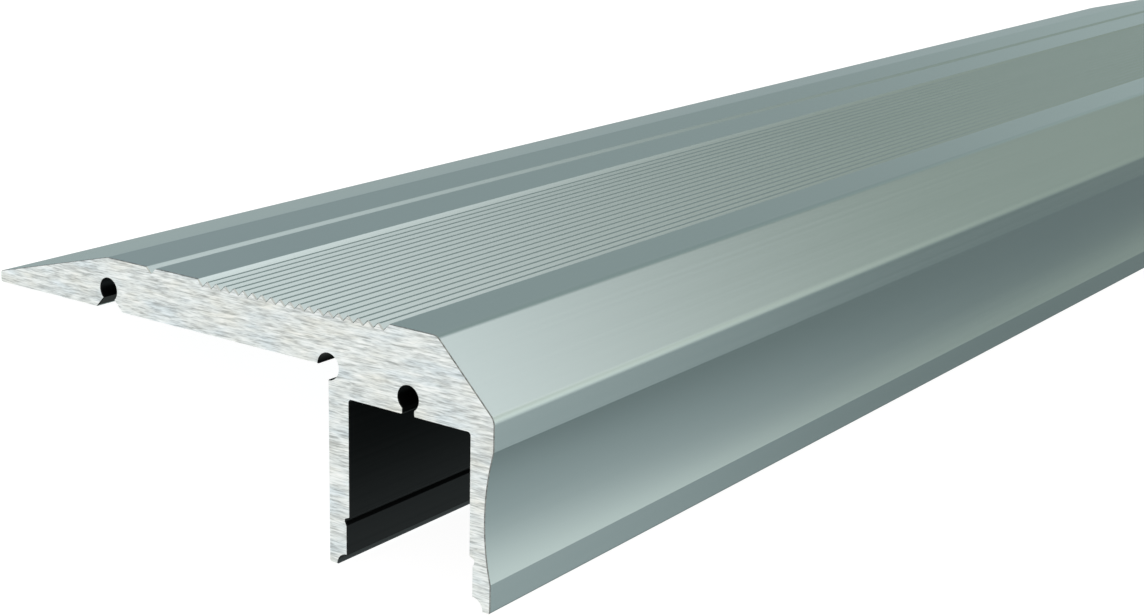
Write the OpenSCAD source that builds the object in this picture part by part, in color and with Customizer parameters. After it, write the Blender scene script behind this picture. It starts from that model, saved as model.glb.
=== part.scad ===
// Stair nosing: one aluminium extrusion with a ribbed tread strip and a light channel
// under the nose. The section is drawn as it sits on a step (tread face at y = 0, thin
// back edge at x = 0, nose face at x = width), extruded along the length, then turned
// about its length to the pose in which it lies on a level floor: on the lower corner of
// the back edge and the outer corner of the rear leg's foot.
// Millimetres, +Z up, +X toward the nose, +Y along the length.

/* [Overall] */
// Length of the cut piece
length = 250; // [50:1:3000]
// Width from the thin back edge to the nose face
width = 54.6; // [50:0.1:70]
// Height from the tread face to the feet of the two legs
height = 20.5; // [18:0.1:30]

/* [Tread plate] */
// Thickness of the plate
plate_t = 4.5; // [4:0.1:6]
// Thickness of the back edge, at the foot of the ramp
edge_t = 1; // [0.8:0.1:2]
// Radius on the corners of the back edge and of the leg feet
edge_r = 0.2; // [0.1:0.05:0.4]
// Width of the ramp from the back edge up to the tread face
ramp_w = 13.95; // [10:0.05:16]
// Middle of the scored line, from the back edge
score_x = 19.2; // [17:0.1:22]
// Width of the scored line
score_w = 1.1; // [0.6:0.05:2]
// Depth of the scored line
score_d = 0.5; // [0.2:0.01:0.8]

/* [Anti-slip ribs] */
// Number of V valleys in the rib strip
rib_valleys = 20; // [6:1:22]
// Distance from valley to valley
rib_pitch = 1; // [0.8:0.05:1.05]
// Bottom of the last valley, from the nose face
rib_last = 10.47; // [9:0.01:13]
// Depth of the valleys below the tread face
rib_depth = 0.53; // [0.3:0.01:0.8]
// Depth of the rib tips below the tread face
rib_tip = 0.12; // [0:0.01:0.25]
// Width of the flat on each rib tip
rib_flat = 0.17; // [0.05:0.01:0.4]
// Width of the outer flank of the strip on the ramp side
rib_flank_back = 0.49; // [0.3:0.01:1]
// Width of the outer flank of the strip on the nose side
rib_flank_nose = 0.59; // [0.3:0.01:1]

/* [Nose] */
// Leg of the 45 degree chamfer
chamfer = 5.35; // [4:0.05:6]
// Radius between the tread face and the chamfer
chamfer_top_r = 0.9; // [0.3:0.1:2]
// Radius between the chamfer and the nose face
chamfer_low_r = 1; // [0.3:0.1:2]
// Set-back of the flat band at the foot from the nose face
foot_back = 0.17; // [0:0.01:0.4]
// Depth of the hollow front face, from the nose face
cove_d = 0.76; // [0.5:0.02:0.8]
// Radius of the hollow front face
cove_r = 20.3; // [16:0.1:20.5]
// Deepest line of the hollow front face, below the tread face
cove_y = 13.3; // [12.9:0.1:13.8]

/* [Light channel] */
// Thickness of the front wall above its snap groove
front_t = 2.15; // [2:0.05:3]
// Clear width of the channel above the snap grooves
channel_w = 11.75; // [10:0.05:16]
// Ceiling of the channel, below the tread face
ceiling_d = 6.73; // [6.6:0.01:8]
// Radius in the upper corners of the channel
channel_r = 0.25; // [0.1:0.05:0.5]
// Start of the snap grooves, below the tread face
snap_y = 16.35; // [14:0.05:17]
// Depth of the snap grooves from the upper wall face
snap_d = 0.46; // [0.35:0.01:0.6]
// Step of the wall face below the snap grooves
snap_step = 0.3; // [0.1:0.01:0.34]
// Radius of the hollow cut along the inner corner of each foot
foot_r = 0.98; // [0.5:0.02:1.2]

/* [Rear leg] */
// Thickness of the rear leg above its snap groove
leg_t = 2.1; // [2:0.05:3]
// Radius of the round relief in the corner of plate and rear leg
relief_r = 1.06; // [0.5:0.02:1.2]

/* [Screw ports] */
// Radius of both screw ports
port_r = 1; // [0.8:0.05:1.05]
// Axis of the plate port, from the back edge
port_x = 14; // [12:0.1:15]
// Axis of the plate port, below the tread face
port_d = 2.77; // [2.5:0.01:2.9]
// Half of the angle left open under the plate port
port_open = 38.5; // [30:0.5:42]
// Axis of the channel port, below the tread face
cport_d = 5.37; // [5.3:0.01:5.6]
// Width of the slot between the channel port and the ceiling
cport_slot = 1.1; // [0.8:0.05:1.2]
// Radius on the lips of the channel port
lip_r = 0.15; // [0.05:0.05:0.2]

/* [Hidden] */
$fn = 96;
eps = 0.01;

// faces of the legs, from the back edge
front_in = width - front_t;          // front wall, channel side
rear_in = front_in - channel_w;      // rear leg, channel side
rear_out = rear_in - leg_t;          // rear leg, tread side
front_low = front_in + snap_step;    // front wall below its snap groove
rear_low = rear_in - snap_step;      // rear leg below its snap groove
foot_x = width - foot_back;          // front wall, foot band
cport_x = (front_in + rear_in) / 2;  // channel port, mid-channel
edge_y = edge_t - plate_t;           // upper corner of the back edge

// rib strip
rib_first = width - rib_last - (rib_valleys - 1) * rib_pitch;
rib_points = [for (i = [0 : rib_valleys - 1]) let (x = rib_first + i * rib_pitch)
    each concat([[x, -rib_depth]], i == rib_valleys - 1 ? [] :
        [[x + (rib_pitch - rib_flat) / 2, -rib_tip],
         [x + (rib_pitch + rib_flat) / 2, -rib_tip]])];

// points of an arc about [cx, cy] from angle a to angle b, in n steps
function arc(cx, cy, r, a, b, n) =
    [for (i = [0 : n]) let (t = a + (b - a) * i / n) [cx + r * cos(t), cy + r * sin(t)]];

// resting pose: both floor contacts are corners of radius edge_r
tilt = atan2(height - plate_t, rear_out);
rest_z = edge_r - (edge_r * sin(tilt) + (edge_r - plate_t) * cos(tilt));
// outermost points along X in that pose: the upper corner of the back edge and the
// outer corner of the front wall's foot
ramp_a = atan2(-edge_y, ramp_w);
edge_tan = edge_r * tan((90 - ramp_a) / 2);
back_out = edge_r * cos(tilt) - (edge_y - edge_tan) * sin(tilt) - edge_r;
foot_out = (foot_x - edge_r) * cos(tilt) + (height - edge_r) * sin(tilt) + edge_r;
mid_x = (back_out + foot_out) / 2;
// tangent lengths of the two chamfer roundings
top_t = chamfer_top_r * tan(22.5);
low_t = chamfer_low_r * tan(22.5);

// what is cut off to round the square corner at [x, y]; sx, sy point into the metal
module corner_off(x, y, sx, sy, r) {
    difference() {
        translate([x + sx * (r - eps) / 2, y + sy * (r - eps) / 2])
            square(r + eps, center = true);
        translate([x + sx * r, y + sy * r]) circle(r);
    }
}

// outline of the section, before its hollows and ports are cut
module outline() {
    polygon(concat(
        [[0, -plate_t]],
        arc(edge_r, edge_y - edge_tan, edge_r, 180, 90 + ramp_a, 4),
        [[ramp_w, 0],
         [score_x - score_w / 2, 0], [score_x, -score_d], [score_x + score_w / 2, 0],
         [rib_first - rib_flank_back, 0]],
        rib_points,
        [[width - rib_last + rib_flank_nose, 0]],
        arc(width - chamfer - top_t, -chamfer_top_r, chamfer_top_r, 90, 45, 6),
        arc(width - chamfer_low_r, -chamfer - low_t, chamfer_low_r, 45, 0, 6),
        [[width, -cove_y], [foot_x, -cove_y], [foot_x, -height],
         [front_low, -height],
         [front_low, -(snap_y + 0.72)],
         [front_in + snap_d, -(snap_y + 0.4)], [front_in + snap_d, -(snap_y + 0.2)],
         [front_in, -snap_y], [front_in, -ceiling_d - channel_r],
         [front_in - channel_r, -ceiling_d], [rear_in + channel_r, -ceiling_d],
         [rear_in, -ceiling_d - channel_r], [rear_in, -snap_y],
         [rear_in - snap_d, -(snap_y + 0.2)], [rear_in - snap_d, -(snap_y + 0.4)],
         [rear_low, -(snap_y + 0.72)],
         [rear_low, -height], [rear_out, -height], [rear_out, -plate_t]]));
}

// hollow front face
module cove() {
    translate([width - cove_d + cove_r, -cove_y]) circle(cove_r, $fn = 360);
}

// screw port in the underside of the plate, with a mouth flared at 45 degrees
module plate_port() {
    translate([port_x, -port_d]) {
        circle(port_r);
        h = port_r * sin(port_open);
        d = port_r * cos(port_open);
        g = plate_t - port_d + eps - d;
        s = h / 2;
        polygon([[-h + s, -d + s], [h - s, -d + s], [h + g, -d - g], [-h - g, -d - g]]);
    }
}

// screw port in the channel ceiling, with a straight slot
module channel_port() {
    translate([cport_x, -cport_d]) circle(port_r);
    translate([cport_x - cport_slot / 2, -ceiling_d - eps])
        square([cport_slot, ceiling_d - cport_d + eps]);
    corner_off(cport_x - cport_slot / 2, -ceiling_d, -1, 1, lip_r);
    corner_off(cport_x + cport_slot / 2, -ceiling_d, 1, 1, lip_r);
}

module section() {
    difference() {
        outline();
        translate([front_in - channel_r, -ceiling_d - channel_r]) circle(channel_r);
        translate([rear_in + channel_r, -ceiling_d - channel_r]) circle(channel_r);
        corner_off(0, -plate_t, 1, 1, edge_r);
        cove();
        corner_off(foot_x, -height, -1, 1, edge_r);
        corner_off(rear_out, -height, 1, 1, edge_r);
        translate([front_low, -height]) circle(foot_r);
        translate([rear_low, -height]) circle(foot_r);
        translate([rear_out, -plate_t]) circle(relief_r);
        plate_port();
        channel_port();
    }
}

// the whole extrusion, lying on the floor
module nosing_profile() {
    color([0.66, 0.70, 0.70])
    translate([-mid_x, 0, rest_z])
    rotate([0, -tilt, 0])
    rotate([90, 0, 0])
    linear_extrude(height = length, center = true)
        section();
}

nosing_profile();
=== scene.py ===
import math

import bmesh
import bpy
from mathutils import Matrix, Vector
from mathutils.geometry import delaunay_2d_cdt

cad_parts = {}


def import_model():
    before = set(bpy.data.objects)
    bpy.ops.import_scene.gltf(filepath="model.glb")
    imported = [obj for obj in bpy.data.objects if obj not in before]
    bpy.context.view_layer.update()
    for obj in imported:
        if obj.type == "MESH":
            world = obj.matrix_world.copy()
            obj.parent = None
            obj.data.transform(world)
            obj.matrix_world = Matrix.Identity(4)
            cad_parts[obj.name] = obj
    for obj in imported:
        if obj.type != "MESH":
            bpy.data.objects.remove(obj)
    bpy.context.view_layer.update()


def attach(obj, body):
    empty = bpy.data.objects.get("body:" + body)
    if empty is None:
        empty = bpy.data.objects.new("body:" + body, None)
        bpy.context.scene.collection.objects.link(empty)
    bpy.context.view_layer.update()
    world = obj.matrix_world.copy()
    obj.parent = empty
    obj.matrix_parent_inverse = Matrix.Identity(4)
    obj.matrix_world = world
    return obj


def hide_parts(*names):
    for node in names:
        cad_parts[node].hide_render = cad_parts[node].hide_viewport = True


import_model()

# ---------------------------------------------------------------- section
# The section is drawn as it sits on a step: x from the thin back edge to the
# nose, z up from the tread face, in millimetres. It is walked clockwise, so
# the metal is on the right and the outward normal on the left of the path.

EDGES = []  # (start, end, normal at start, normal at end, finish)
# the third finish is painted shade inside the channel, ports and hollows; the fifth is the saw-cut edge drawn pale as
# painted light
ANODISED, SAWN, SHADED, EDGE, PAINTED_LIT_EDGE = 0, 1, 2, 3, 4
finish = ANODISED


def add(p, q, n, m):
    if math.hypot(q[0] - p[0], q[1] - p[1]) > 1e-6:
        EDGES.append((p, q, n, m, finish))


def line(p, q):
    d = math.hypot(q[0] - p[0], q[1] - p[1])
    if d > 1e-6:
        n = (-(q[1] - p[1]) / d, (q[0] - p[0]) / d)
        add(p, q, n, n)


def arc(c, r, a, b, hollow, step=6.0):
    n = max(2, math.ceil(abs(b - a) / step))
    s = -1.0 if hollow else 1.0
    ring = []
    for i in range(n + 1):
        t = math.radians(a + (b - a) * i / n)
        u = (math.cos(t), math.sin(t))
        ring.append(((c[0] + r * u[0], c[1] + r * u[1]), (s * u[0], s * u[1])))
    for (p, n0), (q, n1) in zip(ring, ring[1:]):
        add(p, q, n0, n1)


def chain(points):
    """Straight runs through points of (x, z, radius), rounded at each corner."""
    at = points[0][:2]
    for k in range(1, len(points) - 1):
        a, (px, pz, r), b = points[k - 1], points[k], points[k + 1]
        u = Vector((a[0] - px, a[1] - pz)).normalized()
        v = Vector((b[0] - px, b[1] - pz)).normalized()
        half = u.angle(v) / 2
        if r <= 0 or half > math.radians(89):
            line(at, (px, pz))
            at = (px, pz)
            continue
        run = r / math.tan(half)
        start = (px + u.x * run, pz + u.y * run)
        end = (px + v.x * run, pz + v.y * run)
        mid = (u + v).normalized() * (r / math.sin(half))
        c = (px + mid.x, pz + mid.y)
        turn = (-u.x) * v.y - (-u.y) * v.x  # above zero: the path turns left
        line(at, start)
        t0 = math.degrees(math.atan2(start[1] - c[1], start[0] - c[0]))
        t1 = math.degrees(math.atan2(end[1] - c[1], end[0] - c[0]))
        while t1 - t0 > 180:
            t1 -= 360
        while t1 - t0 < -180:
            t1 += 360
        before = len(EDGES)
        arc(c, r, t0, t1, turn > 0, 7.5)
        if len(EDGES) > before:  # meets the straight runs exactly
            first, last = EDGES[before], EDGES[-1]
            EDGES[before] = (start,) + first[1:]
            last = EDGES[-1]
            EDGES[-1] = (last[0], end) + last[2:]
        at = end
    line(at, points[-1][:2])


PORT = (14.0, -2.77)
CPORT = (46.575, -5.37)
throat = math.radians(38.5)
hx, hz = math.sin(throat), PORT[1] - math.cos(throat)
foot_run = hz + 4.5

ribs = [(24.64, 0, 0.05)]
for i in range(20):
    x = 25.13 + i
    ribs.append((x, -0.53, 0.04))
    if i < 19:
        ribs.append((x + 0.5, -0.037, 0.2))
ribs.append((44.72, 0, 0.05))

# flared mouth of the plate port, underside, back edge, ramp, tread and nose
finish = SHADED
line((PORT[0] - hx, hz), (PORT[0] - hx - foot_run + 0.12, -4.5 + 0.12))
finish = ANODISED
chain(
    [(PORT[0] - hx - foot_run + 0.12, -4.5 + 0.12, 0), (PORT[0] - hx - foot_run, -4.5, 0.2)]
    + [(0, -4.5, 0.2), (0, -3.5, 0.2), (13.95, 0, 0.6)]
    + [(18.65, 0, 0.06), (19.2, -0.50, 0.05), (19.75, 0, 0.06)]
    + ribs
    + [(49.25, 0, 0.9), (54.6, -5.35, 1.0), (54.6, -7.802, 0)]
)
# hollow front face
COVE = (74.14, -13.3)


def cove_z(x, side):
    return COVE[1] + side * math.sqrt(20.3 ** 2 - (COVE[0] - x) ** 2)


top, low = (54.6, cove_z(54.6, 1)), (54.43, cove_z(54.43, -1))
EDGES[-1] = (EDGES[-1][0], top) + EDGES[-1][2:]
arc(
    COVE, 20.3,
    math.degrees(math.atan2(top[1] - COVE[1], top[0] - COVE[0])),
    math.degrees(math.atan2(low[1] - COVE[1], low[0] - COVE[0])) + 360,
    True, 1.0,
)
chain([low + (0,), (54.43, -20.5, 0.2), (53.73, -20.5, 0)])
# foot hollow, snap groove, channel and its screw port, snap groove, foot hollow
finish = SHADED
arc((52.75, -20.5), 0.98, 0, 90, True)
s = 0.55
sz = CPORT[1] - math.sqrt(1 - s * s)
sa = math.degrees(math.atan2(sz - CPORT[1], s))
chain(
    [(52.75, -19.52, 0), (52.75, -17.07, 0.05), (52.91, -16.75, 0.05), (52.91, -16.55, 0.05)]
    + [(52.45, -16.35, 0.06), (52.45, -6.73, 0.25), (CPORT[0] + s, -6.73, 0.15)]
    + [(CPORT[0] + s, sz, 0)]
)
arc(CPORT, 1.0, sa, 180 - sa, True)
chain(
    [(CPORT[0] - s, sz, 0), (CPORT[0] - s, -6.73, 0.15), (40.7, -6.73, 0.25)]
    + [(40.7, -16.35, 0.06), (40.24, -16.55, 0.05), (40.24, -16.75, 0.05)]
    + [(40.4, -17.07, 0.05), (40.4, -19.52, 0)]
)
arc((40.4, -20.5), 0.98, 90, 180, True)
# rear leg, relief in its corner, underside, plate port
finish = ANODISED
chain([(39.42, -20.5, 0), (38.6, -20.5, 0.2), (38.6, -5.56, 0)])
finish = SHADED
arc((38.6, -4.5), 1.06, -90, 180, True)
finish = ANODISED
chain(
    [(37.54, -4.5, 0), (PORT[0] + hx + foot_run, -4.5, 0.2)]
    + [(PORT[0] + hx + foot_run - 0.12, -4.5 + 0.12, 0)]
)
finish = SHADED
line((PORT[0] + hx + foot_run - 0.12, -4.5 + 0.12), (PORT[0] + hx, hz))
arc(PORT, 1.0, -90 + 38.5, 270 - 38.5, True)

# ---------------------------------------------------------------- mesh
TILT = math.radians(22.514386828)  # the profile lies on its back edge and rear foot
COS, SIN = math.cos(TILT), math.sin(TILT)
MID, REST = 29.727330037, 4.095685593
HALF = 125.0


def world(x, z):
    return (x * COS - z * SIN - MID, x * SIN + z * COS + REST)


def turned(n):
    return (n[0] * COS - n[1] * SIN, n[0] * SIN + n[1] * COS)


BREAK_IN, BREAK_LONG = 0.04, 0.11  # edge broken along the outline of both sawn ends
RIB_BREAK = 0.09  # the rib tips wear down further when the cut is brushed off


def on_rib(p):
    return 24.5 < p[0] < 44.9 and -0.8 < p[1] < -0.05


def in_groove(p):
    return on_rib(p) or 18.6 < p[0] < 19.8 and -0.8 < p[1] < -0.05


def break_at(p):
    return RIB_BREAK if on_rib(p) else BREAK_IN


def build_profile():
    """The extrusion as one closed mesh: lofted sides, a broken edge and two sawn ends."""
    inner = HALF - BREAK_LONG
    rings = [-HALF] + [-inner + 2 * inner * k / 24 for k in range(25)] + [HALF]
    count = len(EDGES)
    for (_, q, *_), (p, *_) in zip(EDGES, EDGES[1:] + EDGES[:1]):
        assert math.hypot(q[0] - p[0], q[1] - p[1]) < 2e-3, (q, p)
    bm = bmesh.new()
    whole = [p for p, *_ in EDGES]
    broken = []
    for i, (p, _, n, *_) in enumerate(EDGES):
        m = Vector(n) + Vector(EDGES[i - 1][3])
        m = m / max(m.length_squared / 2, 0.5)  # keeps the same depth at corners
        broken.append((p[0] - break_at(p) * m.x, p[1] - break_at(p) * m.y))
    grid = []
    for k, y in enumerate(rings):
        row = []
        for p in broken if k in (0, len(rings) - 1) else whole:
            x, z = world(*p)
            row.append(bm.verts.new((x / 1000, y / 1000, z / 1000)))
        grid.append(row)
    along = [0.0]
    for p, q, *_ in EDGES:
        along.append(along[-1] + math.hypot(q[0] - p[0], q[1] - p[1]))
    normals, places, finishes = [], [], []
    faces = []
    for k in range(len(rings) - 1):
        v0 = 0.015 + 0.225 * k / (len(rings) - 1)
        v1 = 0.015 + 0.225 * (k + 1) / (len(rings) - 1)
        side = {0: -1, len(rings) - 2: 1}.get(k, 0)
        for i in range(count):
            j = (i + 1) % count
            a, b = grid[k][i], grid[k][j]
            c, d = grid[k + 1][j], grid[k + 1][i]
            faces.append(bm.faces.new((a, b, c, d)))
            n0, n1 = (
                (n[0] * math.cos(lean), side * math.sin(lean), n[1] * math.cos(lean))
                for n, lean in (
                    (turned(EDGES[i][2]), abs(side) * math.atan2(break_at(EDGES[i][0]), BREAK_LONG)),
                    (turned(EDGES[i][3]), abs(side) * math.atan2(break_at(EDGES[j][0]), BREAK_LONG)),
                )
            )
            normals.append([n0, n1, n1, n0])
            u0 = 0.01 + 0.98 * along[i] / along[-1]
            u1 = 0.01 + 0.98 * along[i + 1] / along[-1]
            places.append([(u0, v0), (u1, v0), (u1, v1), (u0, v1)])
            kind = EDGES[i][4]
            # on the nose-facing groove faces the strip at the sawn ends takes the pale edge copy, painted light as
            # bright as the lit flanks; elsewhere it takes the dark copy
            if side and kind == ANODISED:
                mid = [(u + v) / 2 for u, v in zip(EDGES[i][0], EDGES[i][1])]
                kind = PAINTED_LIT_EDGE if in_groove(mid) and EDGES[i][2][0] > -0.2 else EDGE
            finishes.append(kind)
    bm.verts.index_update()
    # both sawn ends, from one triangulation of the section
    flat = [Vector(p) for p in broken]
    loop = list(range(count))
    points, _, triangles, same, _, _ = delaunay_2d_cdt(flat, [], [loop], 1, 1e-7)
    assert len(points) == count and all(len(ids) == 1 for ids in same)
    caps = {}
    for tri in triangles:
        a, b, c = (same[i][0] for i in tri)
        ab, ac = flat[b] - flat[a], flat[c] - flat[a]
        if ab.x * ac.y - ab.y * ac.x < 0:
            b, c = c, b
        caps[bm.faces.new([grid[0][i] for i in (a, b, c)])] = -1
        caps[bm.faces.new([grid[-1][i] for i in (a, c, b)])] = 1
    bm.faces.ensure_lookup_table()
    section_of = {v: p for row in (grid[0], grid[-1]) for p, v in zip(broken, row)}
    sides = {f: i for i, f in enumerate(faces)}
    uv = bm.loops.layers.uv.new("OFBake")
    loop_normals = []
    for f in bm.faces:
        f.smooth = True
        if f in caps:
            f.material_index = SAWN
            base = 0.26 if caps[f] < 0 else 0.63
            for loop in f.loops:
                x, z = section_of[loop.vert]
                loop[uv].uv = (0.01 + 0.0178 * x, base + 0.0173 * (z + 20.5))
                loop_normals.append((0, caps[f], 0))
        else:
            i = sides[f]
            f.material_index = finishes[i]
            for loop, place, n in zip(f.loops, places[i], normals[i]):
                loop[uv].uv = place
                loop_normals.append(n)
    mesh = bpy.data.meshes.new("nosing_profile_metal")
    bm.to_mesh(mesh)
    bm.free()
    mesh.normals_split_custom_set(loop_normals)
    piece = bpy.data.objects.new("nosing_profile_metal", mesh)
    bpy.context.scene.collection.objects.link(piece)
    return piece


# ---------------------------------------------------------------- materials
class Nodes:
    """Short hands for building a node tree."""

    def __init__(self, tree):
        self.tree = tree
        tree.nodes.clear()

    def new(self, kind, **values):
        n = self.tree.nodes.new(kind)
        for key, value in values.items():
            setattr(n, key, value)
        return n

    def link(self, a, b):
        self.tree.links.new(a, b)

    def feed(self, socket, value):
        if isinstance(value, bpy.types.NodeSocket):
            self.link(value, socket)
        else:
            socket.default_value = value

    def maths(self, op, a, b=None, c=None, clamp=False):
        n = self.new("ShaderNodeMath", operation=op, use_clamp=clamp)
        for socket, value in zip(n.inputs, (a, b, c)):
            if value is not None:
                self.feed(socket, value)
        return n.outputs[0]

    def mapping(self, vector, scale=(1, 1, 1), rotation=(0, 0, 0), location=(0, 0, 0)):
        n = self.new("ShaderNodeMapping")
        self.link(vector, n.inputs["Vector"])
        n.inputs["Scale"].default_value = scale
        n.inputs["Rotation"].default_value = rotation
        n.inputs["Location"].default_value = location
        return n.outputs[0]

    def noise(self, vector, detail=2.0, rough=0.5, distortion=0.0):
        n = self.new("ShaderNodeTexNoise")
        self.link(vector, n.inputs["Vector"])
        n.inputs["Scale"].default_value = 1.0
        n.inputs["Detail"].default_value = detail
        n.inputs["Roughness"].default_value = rough
        n.inputs["Distortion"].default_value = distortion
        return n.outputs["Fac"]

    def span(self, value, a, b, c, d, how="LINEAR"):
        n = self.new("ShaderNodeMapRange", interpolation_type=how)
        self.feed(n.inputs["Value"], value)
        for key, v in (("From Min", a), ("From Max", b), ("To Min", c), ("To Max", d)):
            self.feed(n.inputs[key], v)
        return n.outputs[0]

    def ramp(self, value, stops):
        n = self.new("ShaderNodeValToRGB")
        self.link(value, n.inputs[0])
        e = n.color_ramp.elements
        while len(e) < len(stops):
            e.new(0.5)
        for el, (pos, colour) in zip(e, stops):
            el.position = pos
            el.color = (*colour, 1)
        return n.outputs[0]

    def mix(self, fac, a, b, blend="MIX"):
        n = self.new("ShaderNodeMix", data_type="RGBA", blend_type=blend)
        self.feed(n.inputs[0], fac)
        for socket, v in ((n.inputs[6], a), (n.inputs[7], b)):
            self.feed(socket, v if isinstance(v, bpy.types.NodeSocket) else (*v, 1))
        return n.outputs[2]


def new_material(name):
    m = bpy.data.materials.new(name)
    m.use_nodes = True
    t = Nodes(m.node_tree)
    out = t.new("ShaderNodeOutputMaterial")
    shader = t.new("ShaderNodeBsdfPrincipled")
    t.link(shader.outputs[0], out.inputs[0])
    return m, t, shader


def anodised():
    m, t, shader = new_material("satin_anodised_aluminium")
    at = t.new("ShaderNodeTexCoord").outputs["Object"]
    fine = t.noise(t.mapping(at, (5200, 5, 5200)), 2, 0.6)
    broad = t.noise(t.mapping(at, (900, 1.6, 900)), 2, 0.5)
    cloud = t.noise(t.mapping(at, (60, 14, 60)), 3, 0.55)
    grain = t.noise(t.mapping(at, (9000, 2600, 9000)), 1, 0.5)
    tone = t.maths("ADD", t.maths("MULTIPLY", fine, 0.80), t.maths("MULTIPLY", broad, 0.20))
    lines = t.ramp(tone, [(0.30, (0.556, 0.665, 0.670)), (0.50, (0.565, 0.675, 0.680)), (0.72, (0.574, 0.684, 0.689))])
    tinted = t.mix(t.span(cloud, 0.35, 0.68, 0.0, 0.30), lines, (0.572, 0.676, 0.670))
    # painted shade in the rib strip: a little darker down in the grooves, and darker on the rib tips
    split = t.new("ShaderNodeSeparateXYZ")
    t.link(t.mapping(at, rotation=(0, TILT, 0)), split.inputs[0])
    strip = t.maths("COMPARE", split.outputs["X"], 0.0088, 0.01005)
    strip = t.maths("MULTIPLY", strip, t.maths("GREATER_THAN", split.outputs["Z"], 0.0140))
    groove_shade_mask = t.maths("MULTIPLY", strip, t.span(split.outputs["Z"], 0.01508, 0.01490, 0.0, 1.0))
    teeth = t.maths("COMPARE", split.outputs["X"], 0.00874, 0.0095)
    tip_shade_mask = t.maths("MULTIPLY", t.maths("MULTIPLY", teeth, strip), t.span(split.outputs["Z"], 0.01499, 0.01502, 0.0, 1.0))
    shade = t.mix(groove_shade_mask, (1, 1, 1), (0.965, 0.965, 0.96))
    shade = t.mix(tip_shade_mask, shade, (0.84, 0.84, 0.835))
    t.link(t.mix(1.0, tinted, shade, "MULTIPLY"), shader.inputs["Base Color"])
    shader.inputs["Metallic"].default_value = 1.0
    rough = t.maths("ADD", t.span(tone, 0.3, 0.7, 0.210, 0.230), t.span(cloud, 0.3, 0.7, -0.01, 0.01))
    t.link(t.maths("ADD", rough, t.span(grain, 0.2, 0.8, -0.02, 0.02)), shader.inputs["Roughness"])
    bump = t.new("ShaderNodeBump")
    bump.inputs["Strength"].default_value = 0.03
    bump.inputs["Distance"].default_value = 0.00001
    t.link(t.maths("ADD", t.maths("MULTIPLY", fine, 0.7), t.maths("MULTIPLY", grain, 0.3)), bump.inputs["Height"])
    t.link(bump.outputs[0], shader.inputs["Normal"])
    return m


def sawn():
    m, t, shader = new_material("sawn_aluminium_end")
    at = t.new("ShaderNodeTexCoord").outputs["Object"]
    # turned so that x runs along the width of the section
    level = t.mapping(at, rotation=(0, TILT + math.radians(1.2), 0))
    streak = t.noise(t.mapping(level, (820, 900, 8000)), 2, 0.55, 0.3)
    long_streak = t.noise(t.mapping(level, (330, 400, 3000), location=(3.1, 0, 7.7)), 2, 0.5, 0.2)
    hair = t.noise(t.mapping(level, (900, 900, 14000), location=(9.2, 0, 1.3)), 1, 0.6)
    tint = t.noise(t.mapping(level, (260, 300, 900), location=(5.5, 0, 2.9)), 2, 0.5)
    tone = t.maths("ADD", t.maths("MULTIPLY", streak, 0.60), t.maths("MULTIPLY", long_streak, 0.22))
    tone = t.maths("ADD", tone, t.maths("MULTIPLY", hair, 0.18))
    grey = t.ramp(tone, [(0.34, (0.475, 0.508, 0.496)), (0.45, (0.68, 0.722, 0.708)), (0.54, (0.83, 0.877, 0.857)), (0.66, (0.96, 0.99, 0.975))])
    cool = t.mix(t.span(tint, 0.52, 0.70, 0.0, 0.6), grey, (0.88, 0.94, 1.0), "MULTIPLY")
    warm = t.mix(t.span(tint, 0.48, 0.30, 0.0, 0.6), cool, (1.0, 0.96, 0.90), "MULTIPLY")
    t.link(warm, shader.inputs["Base Color"])
    shader.inputs["Metallic"].default_value = 0.75
    t.link(t.span(tone, 0.36, 0.64, 0.62, 0.46), shader.inputs["Roughness"])
    bump = t.new("ShaderNodeBump")
    bump.inputs["Strength"].default_value = 0.25
    bump.inputs["Distance"].default_value = 0.00003
    t.link(tone, bump.inputs["Height"])
    t.link(bump.outputs[0], shader.inputs["Normal"])
    return m


def sawn_edge(name, dark, pale):
    """Thin line at the saw cut, in a dark and a pale copy. The pale copy on the nose-facing groove faces is painted
    light, as bright as the lit flanks beside it; the dark copy is painted shade on the groove faces turned away from
    the nose, and elsewhere draws a thin dark line along the cut.
    """
    m, t, shader = new_material(name)
    at = t.new("ShaderNodeTexCoord").outputs["Object"]
    nick = t.noise(t.mapping(at, (2600, 400, 2600)), 3, 0.6)
    t.link(t.ramp(nick, [(0.35, dark), (0.65, pale)]), shader.inputs["Base Color"])
    shader.inputs["Metallic"].default_value = 1.0
    t.link(t.span(nick, 0.3, 0.7, 0.45, 0.60), shader.inputs["Roughness"])
    bump = t.new("ShaderNodeBump")
    bump.inputs["Strength"].default_value = 0.3
    bump.inputs["Distance"].default_value = 0.00003
    t.link(nick, bump.inputs["Height"])
    t.link(bump.outputs[0], shader.inputs["Normal"])
    return m


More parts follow.
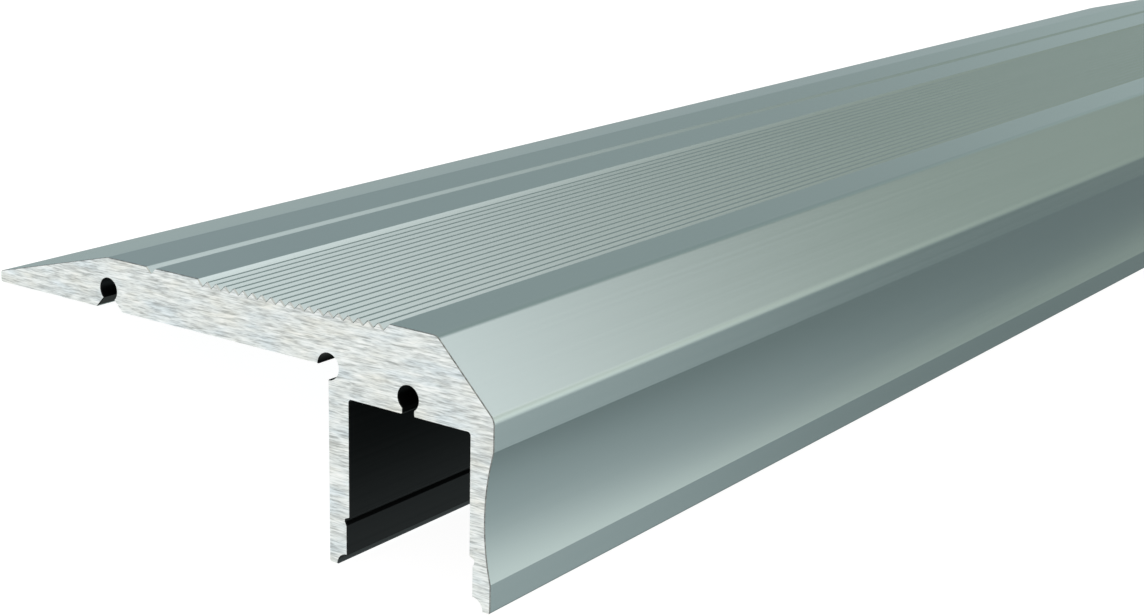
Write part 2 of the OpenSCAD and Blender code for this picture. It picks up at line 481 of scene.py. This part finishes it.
def shaded():
    # painted shade: the channel, screw ports, relief and foot hollows are the same anodised metal, drawn near black for
    # the shade inside them
    m, t, shader = new_material("channel_inside_painted_shade")
    at = t.new("ShaderNodeTexCoord").outputs["Object"]
    fine = t.noise(t.mapping(at, (4200, 4, 4200)), 2, 0.6)
    cloud = t.noise(t.mapping(at, (80, 12, 80)), 2, 0.5)
    tone = t.maths("ADD", t.maths("MULTIPLY", fine, 0.7), t.maths("MULTIPLY", cloud, 0.3))
    dark = t.ramp(tone, [(0.3, (0.024, 0.028, 0.029)), (0.7, (0.036, 0.041, 0.042))])
    # painted shade and light by height: black in the foot hollows, paler on the lip below them towards the opening
    split = t.new("ShaderNodeSeparateXYZ")
    t.link(t.mapping(at, rotation=(0, TILT, 0)), split.inputs[0])
    height = t.span(split.outputs["Z"], -0.00540, -0.00410, 0.0, 1.0)
    hollow_shade_and_opening_light = t.ramp(height, [(0.0, (0.19, 0.19, 0.19)), (0.36, (0.15, 0.15, 0.15)), (0.46, (0.02, 0.02, 0.02)), (0.78, (0.02, 0.02, 0.02)), (0.84, (0.06, 0.06, 0.06))])
    t.link(t.mix(1.0, dark, t.mix(1.0, hollow_shade_and_opening_light, (16.67, 16.67, 16.67), "MULTIPLY"), "MULTIPLY"), shader.inputs["Base Color"])
    shader.inputs["Metallic"].default_value = 1.0
    t.link(t.span(tone, 0.3, 0.7, 0.42, 0.50), shader.inputs["Roughness"])
    bump = t.new("ShaderNodeBump")
    bump.inputs["Strength"].default_value = 0.10
    bump.inputs["Distance"].default_value = 0.00002
    t.link(fine, bump.inputs["Height"])
    t.link(bump.outputs[0], shader.inputs["Normal"])
    return m


profile = build_profile()
# dark copy: painted shade on the groove faces turned away from the nose and a thin dark line along the rest of the cut;
# pale copy: painted light on the nose-facing groove faces
dark_edge_copy = sawn_edge("sawn_edge_dark_copy", (0.17, 0.19, 0.19), (0.46, 0.50, 0.49))
lit_edge_painted_light = sawn_edge("rib_edge_painted_light", (0.66, 0.72, 0.70), (0.80, 0.86, 0.84))
for material in (anodised(), sawn(), shaded(), dark_edge_copy, lit_edge_painted_light):
    profile.data.materials.append(material)
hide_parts("nosing_profile")
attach(profile, "root")

# ---------------------------------------------------------------- floor
floor_mesh = bpy.data.meshes.new("studio_floor")
R = 6.0
floor_mesh.from_pydata([(-R, -R, 0), (R, -R, 0), (R, R, 0), (-R, R, 0)], [], [(0, 1, 2, 3)])
floor = bpy.data.objects.new("studio_floor", floor_mesh)
bpy.context.scene.collection.objects.link(floor)
fm, ft, fs = new_material("pale_floor")
fs.inputs["Base Color"].default_value = (0.30, 0.30, 0.30, 1)
fs.inputs["Emission Color"].default_value = (1, 1, 1, 1)
fs.inputs["Emission Strength"].default_value = 0.94
fs.inputs["Roughness"].default_value = 0.9
fs.inputs["Specular IOR Level"].default_value = 0.0
floor_mesh.materials.append(fm)
floor.visible_glossy = False
floor.visible_shadow = False

# ---------------------------------------------------------------- light
# A soft studio surround: broad soft sources above, at the nose side and behind
# the camera, each fading out at its rim, over a dim lower half.
SOURCES = (
    ((0.6760, -0.2308, 0.6998), 0.206, 0.406, (0.517, 0.475, 0.451)),
    ((-0.4354, -0.7666, -0.4720), 0.339, 1.075, (1.070, 1.070, 1.075)),
    ((0.4010, 0.8941, -0.1993), 0.570, 0.770, (0.178, 0.210, 0.209)),
    ((-0.1182, 0.6430, 0.7567), 0.469, 0.669, (0.133, 0.138, 0.109)),
    ((-0.8216, 0.4949, 0.2830), 0.557, 0.757, (0.171, 0.217, 0.239)),
    ((-0.4868, 0.4003, -0.7764), 0.480, 0.886, (0.238, 0.261, 0.235)),
    ((0.9908, -0.1061, 0.0842), 0.354, 0.554, (0.233, 0.240, 0.243)),
    ((-0.8690, -0.0873, 0.4871), 0.411, 1.365, (0.554, 0.497, 0.496)),
    ((0.2347, 0.7156, 0.6579), 0.591, 2.604, (0.537, 0.579, 0.337)),
    ((0.0660, 0.6458, 0.7607), 0.913, 1.113, (1.568, 1.521, 1.683)),
    ((-0.1948, -0.7674, 0.6108), 0.632, 1.012, (0.107, 0.119, 0.123)),
)
world_data = bpy.data.worlds.new("studio")
bpy.context.scene.world = world_data
world_data.use_nodes = True
w = Nodes(world_data.node_tree)
w_out = w.new("ShaderNodeOutputWorld")
direction = w.new("ShaderNodeTexCoord").outputs["Generated"]
total = None
for towards, dim, full, colour in SOURCES:
    dot = w.new("ShaderNodeVectorMath", operation="DOT_PRODUCT")
    w.link(direction, dot.inputs[0])
    dot.inputs[1].default_value = towards
    amount = w.span(dot.outputs["Value"], dim, full, 0.0, 1.0, "SMOOTHSTEP")
    glow = w.mix(amount, (0, 0, 0), colour)
    total = glow if total is None else w.mix(1.0, total, glow, "ADD")
studio = w.new("ShaderNodeBackground")
w.link(total, studio.inputs["Color"])
plain = w.new("ShaderNodeBackground")
plain.inputs["Color"].default_value = (1.02, 1.02, 1.02, 1)
seen = w.new("ShaderNodeLightPath")
choose = w.new("ShaderNodeMixShader")
w.link(seen.outputs["Is Camera Ray"], choose.inputs[0])
w.link(studio.outputs[0], choose.inputs[1])
w.link(plain.outputs[0], choose.inputs[2])
w.link(choose.outputs[0], w_out.inputs[0])


def soft_light(name, place, size, power, aim=(0, 0, 0)):
    data = bpy.data.lights.new(name, "AREA")
    data.shape = "DISK"
    data.size = size
    data.energy = power
    lamp = bpy.data.objects.new(name, data)
    bpy.context.scene.collection.objects.link(lamp)
    lamp.location = place
    lamp.rotation_euler = (Vector(aim) - Vector(place)).to_track_quat("-Z", "Y").to_euler()
    return lamp


soft_light("front_softbox", (-0.7, -1.7, 1.5), 2.4, 3)

# ---------------------------------------------------------------- camera
cam_data = bpy.data.cameras.new("photo_view")
cam_data.sensor_fit = "HORIZONTAL"
cam_data.sensor_width = 36.0
cam_data.lens = 1986.187 / 1144 * 36.0
cam_data.shift_x = (572 - 480) / 1144
cam_data.clip_start = 0.01
cam_data.clip_end = 50
camera = bpy.data.objects.new("photo_view", cam_data)
bpy.context.scene.collection.objects.link(camera)
right = Vector((0.723084, 0.6163792, 0.3118111))
up = Vector((-0.5306559, 0.2066915, 0.8219993))
back = Vector((0.4422146, -0.759839, 0.4765406))
spot = Vector((0.0805882, -0.2319494, 0.0941612))
camera.matrix_world = Matrix(
    [
        (right.x, up.x, back.x, spot.x),
        (right.y, up.y, back.y, spot.y),
        (right.z, up.z, back.z, spot.z),
        (0, 0, 0, 1),
    ]
)
bpy.context.scene.camera = camera
bpy.context.scene.view_settings.view_transform = "Standard"
